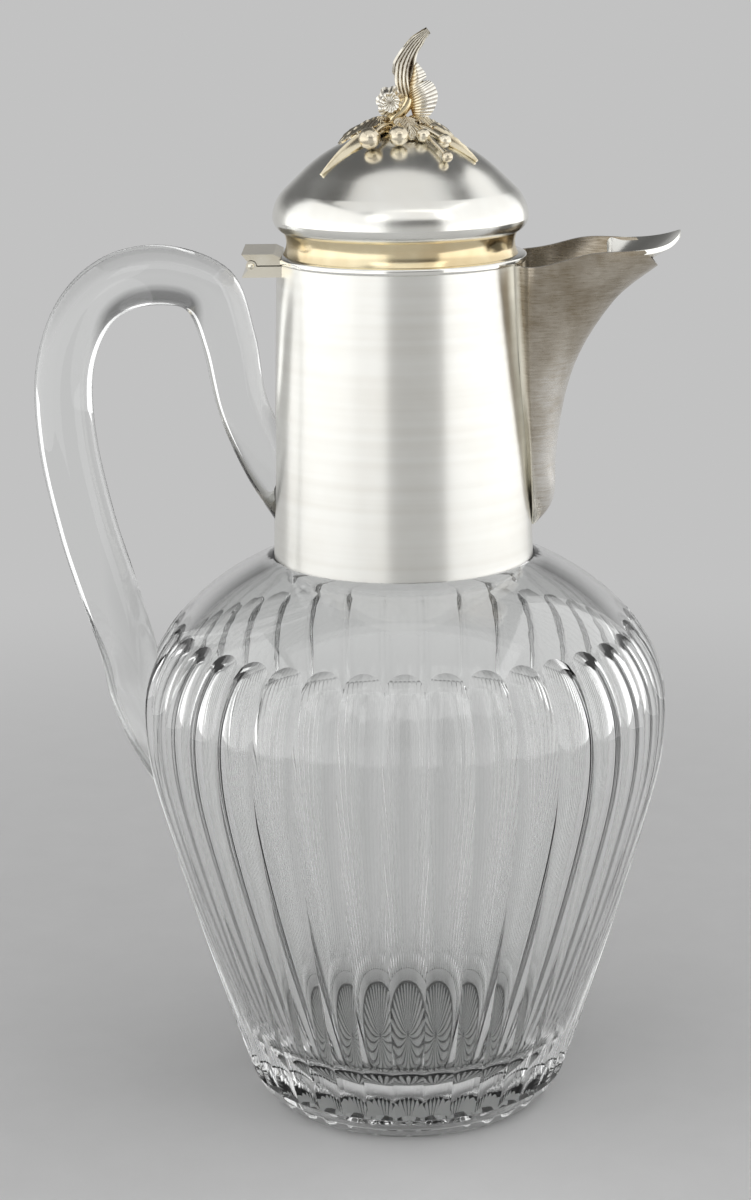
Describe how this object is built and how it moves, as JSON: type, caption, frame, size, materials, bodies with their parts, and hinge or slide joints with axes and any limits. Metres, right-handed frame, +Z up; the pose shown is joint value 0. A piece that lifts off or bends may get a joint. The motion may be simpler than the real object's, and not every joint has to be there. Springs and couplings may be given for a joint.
{
  "type": "claret jug",
  "caption": "Cut-glass claret jug with a silver collar, beak spout, looped glass handle and hinged domed lid with a leaf finial.",
  "frame": {"origin": "on the jug's axis, in the plane it stands on", "axes": "+Z up along the axis, +X towards the spout, with the handle and the lid's hinge on -X"},
  "size_m": [0.1597, 0.1326, 0.2736],
  "materials": {
    "cut_glass": "polished",
    "silver": "polished",
    "gilt_silver": "polished",
    "cement": "matte"
  },
  "bodies": {
    "jug": {"cement_bed": "cement", "collar": "silver", "glass_body": "cut_glass", "glass_handle": "cut_glass", "hinge_lower_leaf": "silver", "hinge_pin": "silver", "spout": "silver", "spout_lip": "silver"},
    "lid": {"finial_berry_1": "silver", "finial_berry_2": "silver", "finial_berry_3": "silver", "finial_berry_4": "silver", "finial_berry_5": "silver", "finial_berry_6": "silver", "finial_boss": "gilt_silver", "finial_fan_leaf_back": "silver", "finial_fan_leaf_front": "silver", "finial_fan_leaf_left": "silver", "finial_fan_leaf_right": "silver", "finial_flower": "silver", "finial_long_leaf_back_left": "gilt_silver", "finial_long_leaf_back_right": "gilt_silver", "finial_long_leaf_left": "gilt_silver", "finial_long_leaf_right": "gilt_silver", "finial_nut": "gilt_silver", "finial_shell_leaf": "silver", "finial_stem": "gilt_silver", "finial_stud": "gilt_silver", "finial_tall_leaf": "silver", "finial_washer": "gilt_silver", "lid_bezel": "silver", "lid_dome": "silver", "lid_flange": "silver", "lid_neck_band": "gilt_silver", "hinge_upper_leaf": "silver"}
  },
  "joints": [
    {"name": "lid_hinge", "type": "hinge", "parent": "jug", "child": "lid", "pos_m": [-0.0362, 0, 0.217], "axis": [0, -1, 0], "range_deg": [0, 95]}
  ]
}
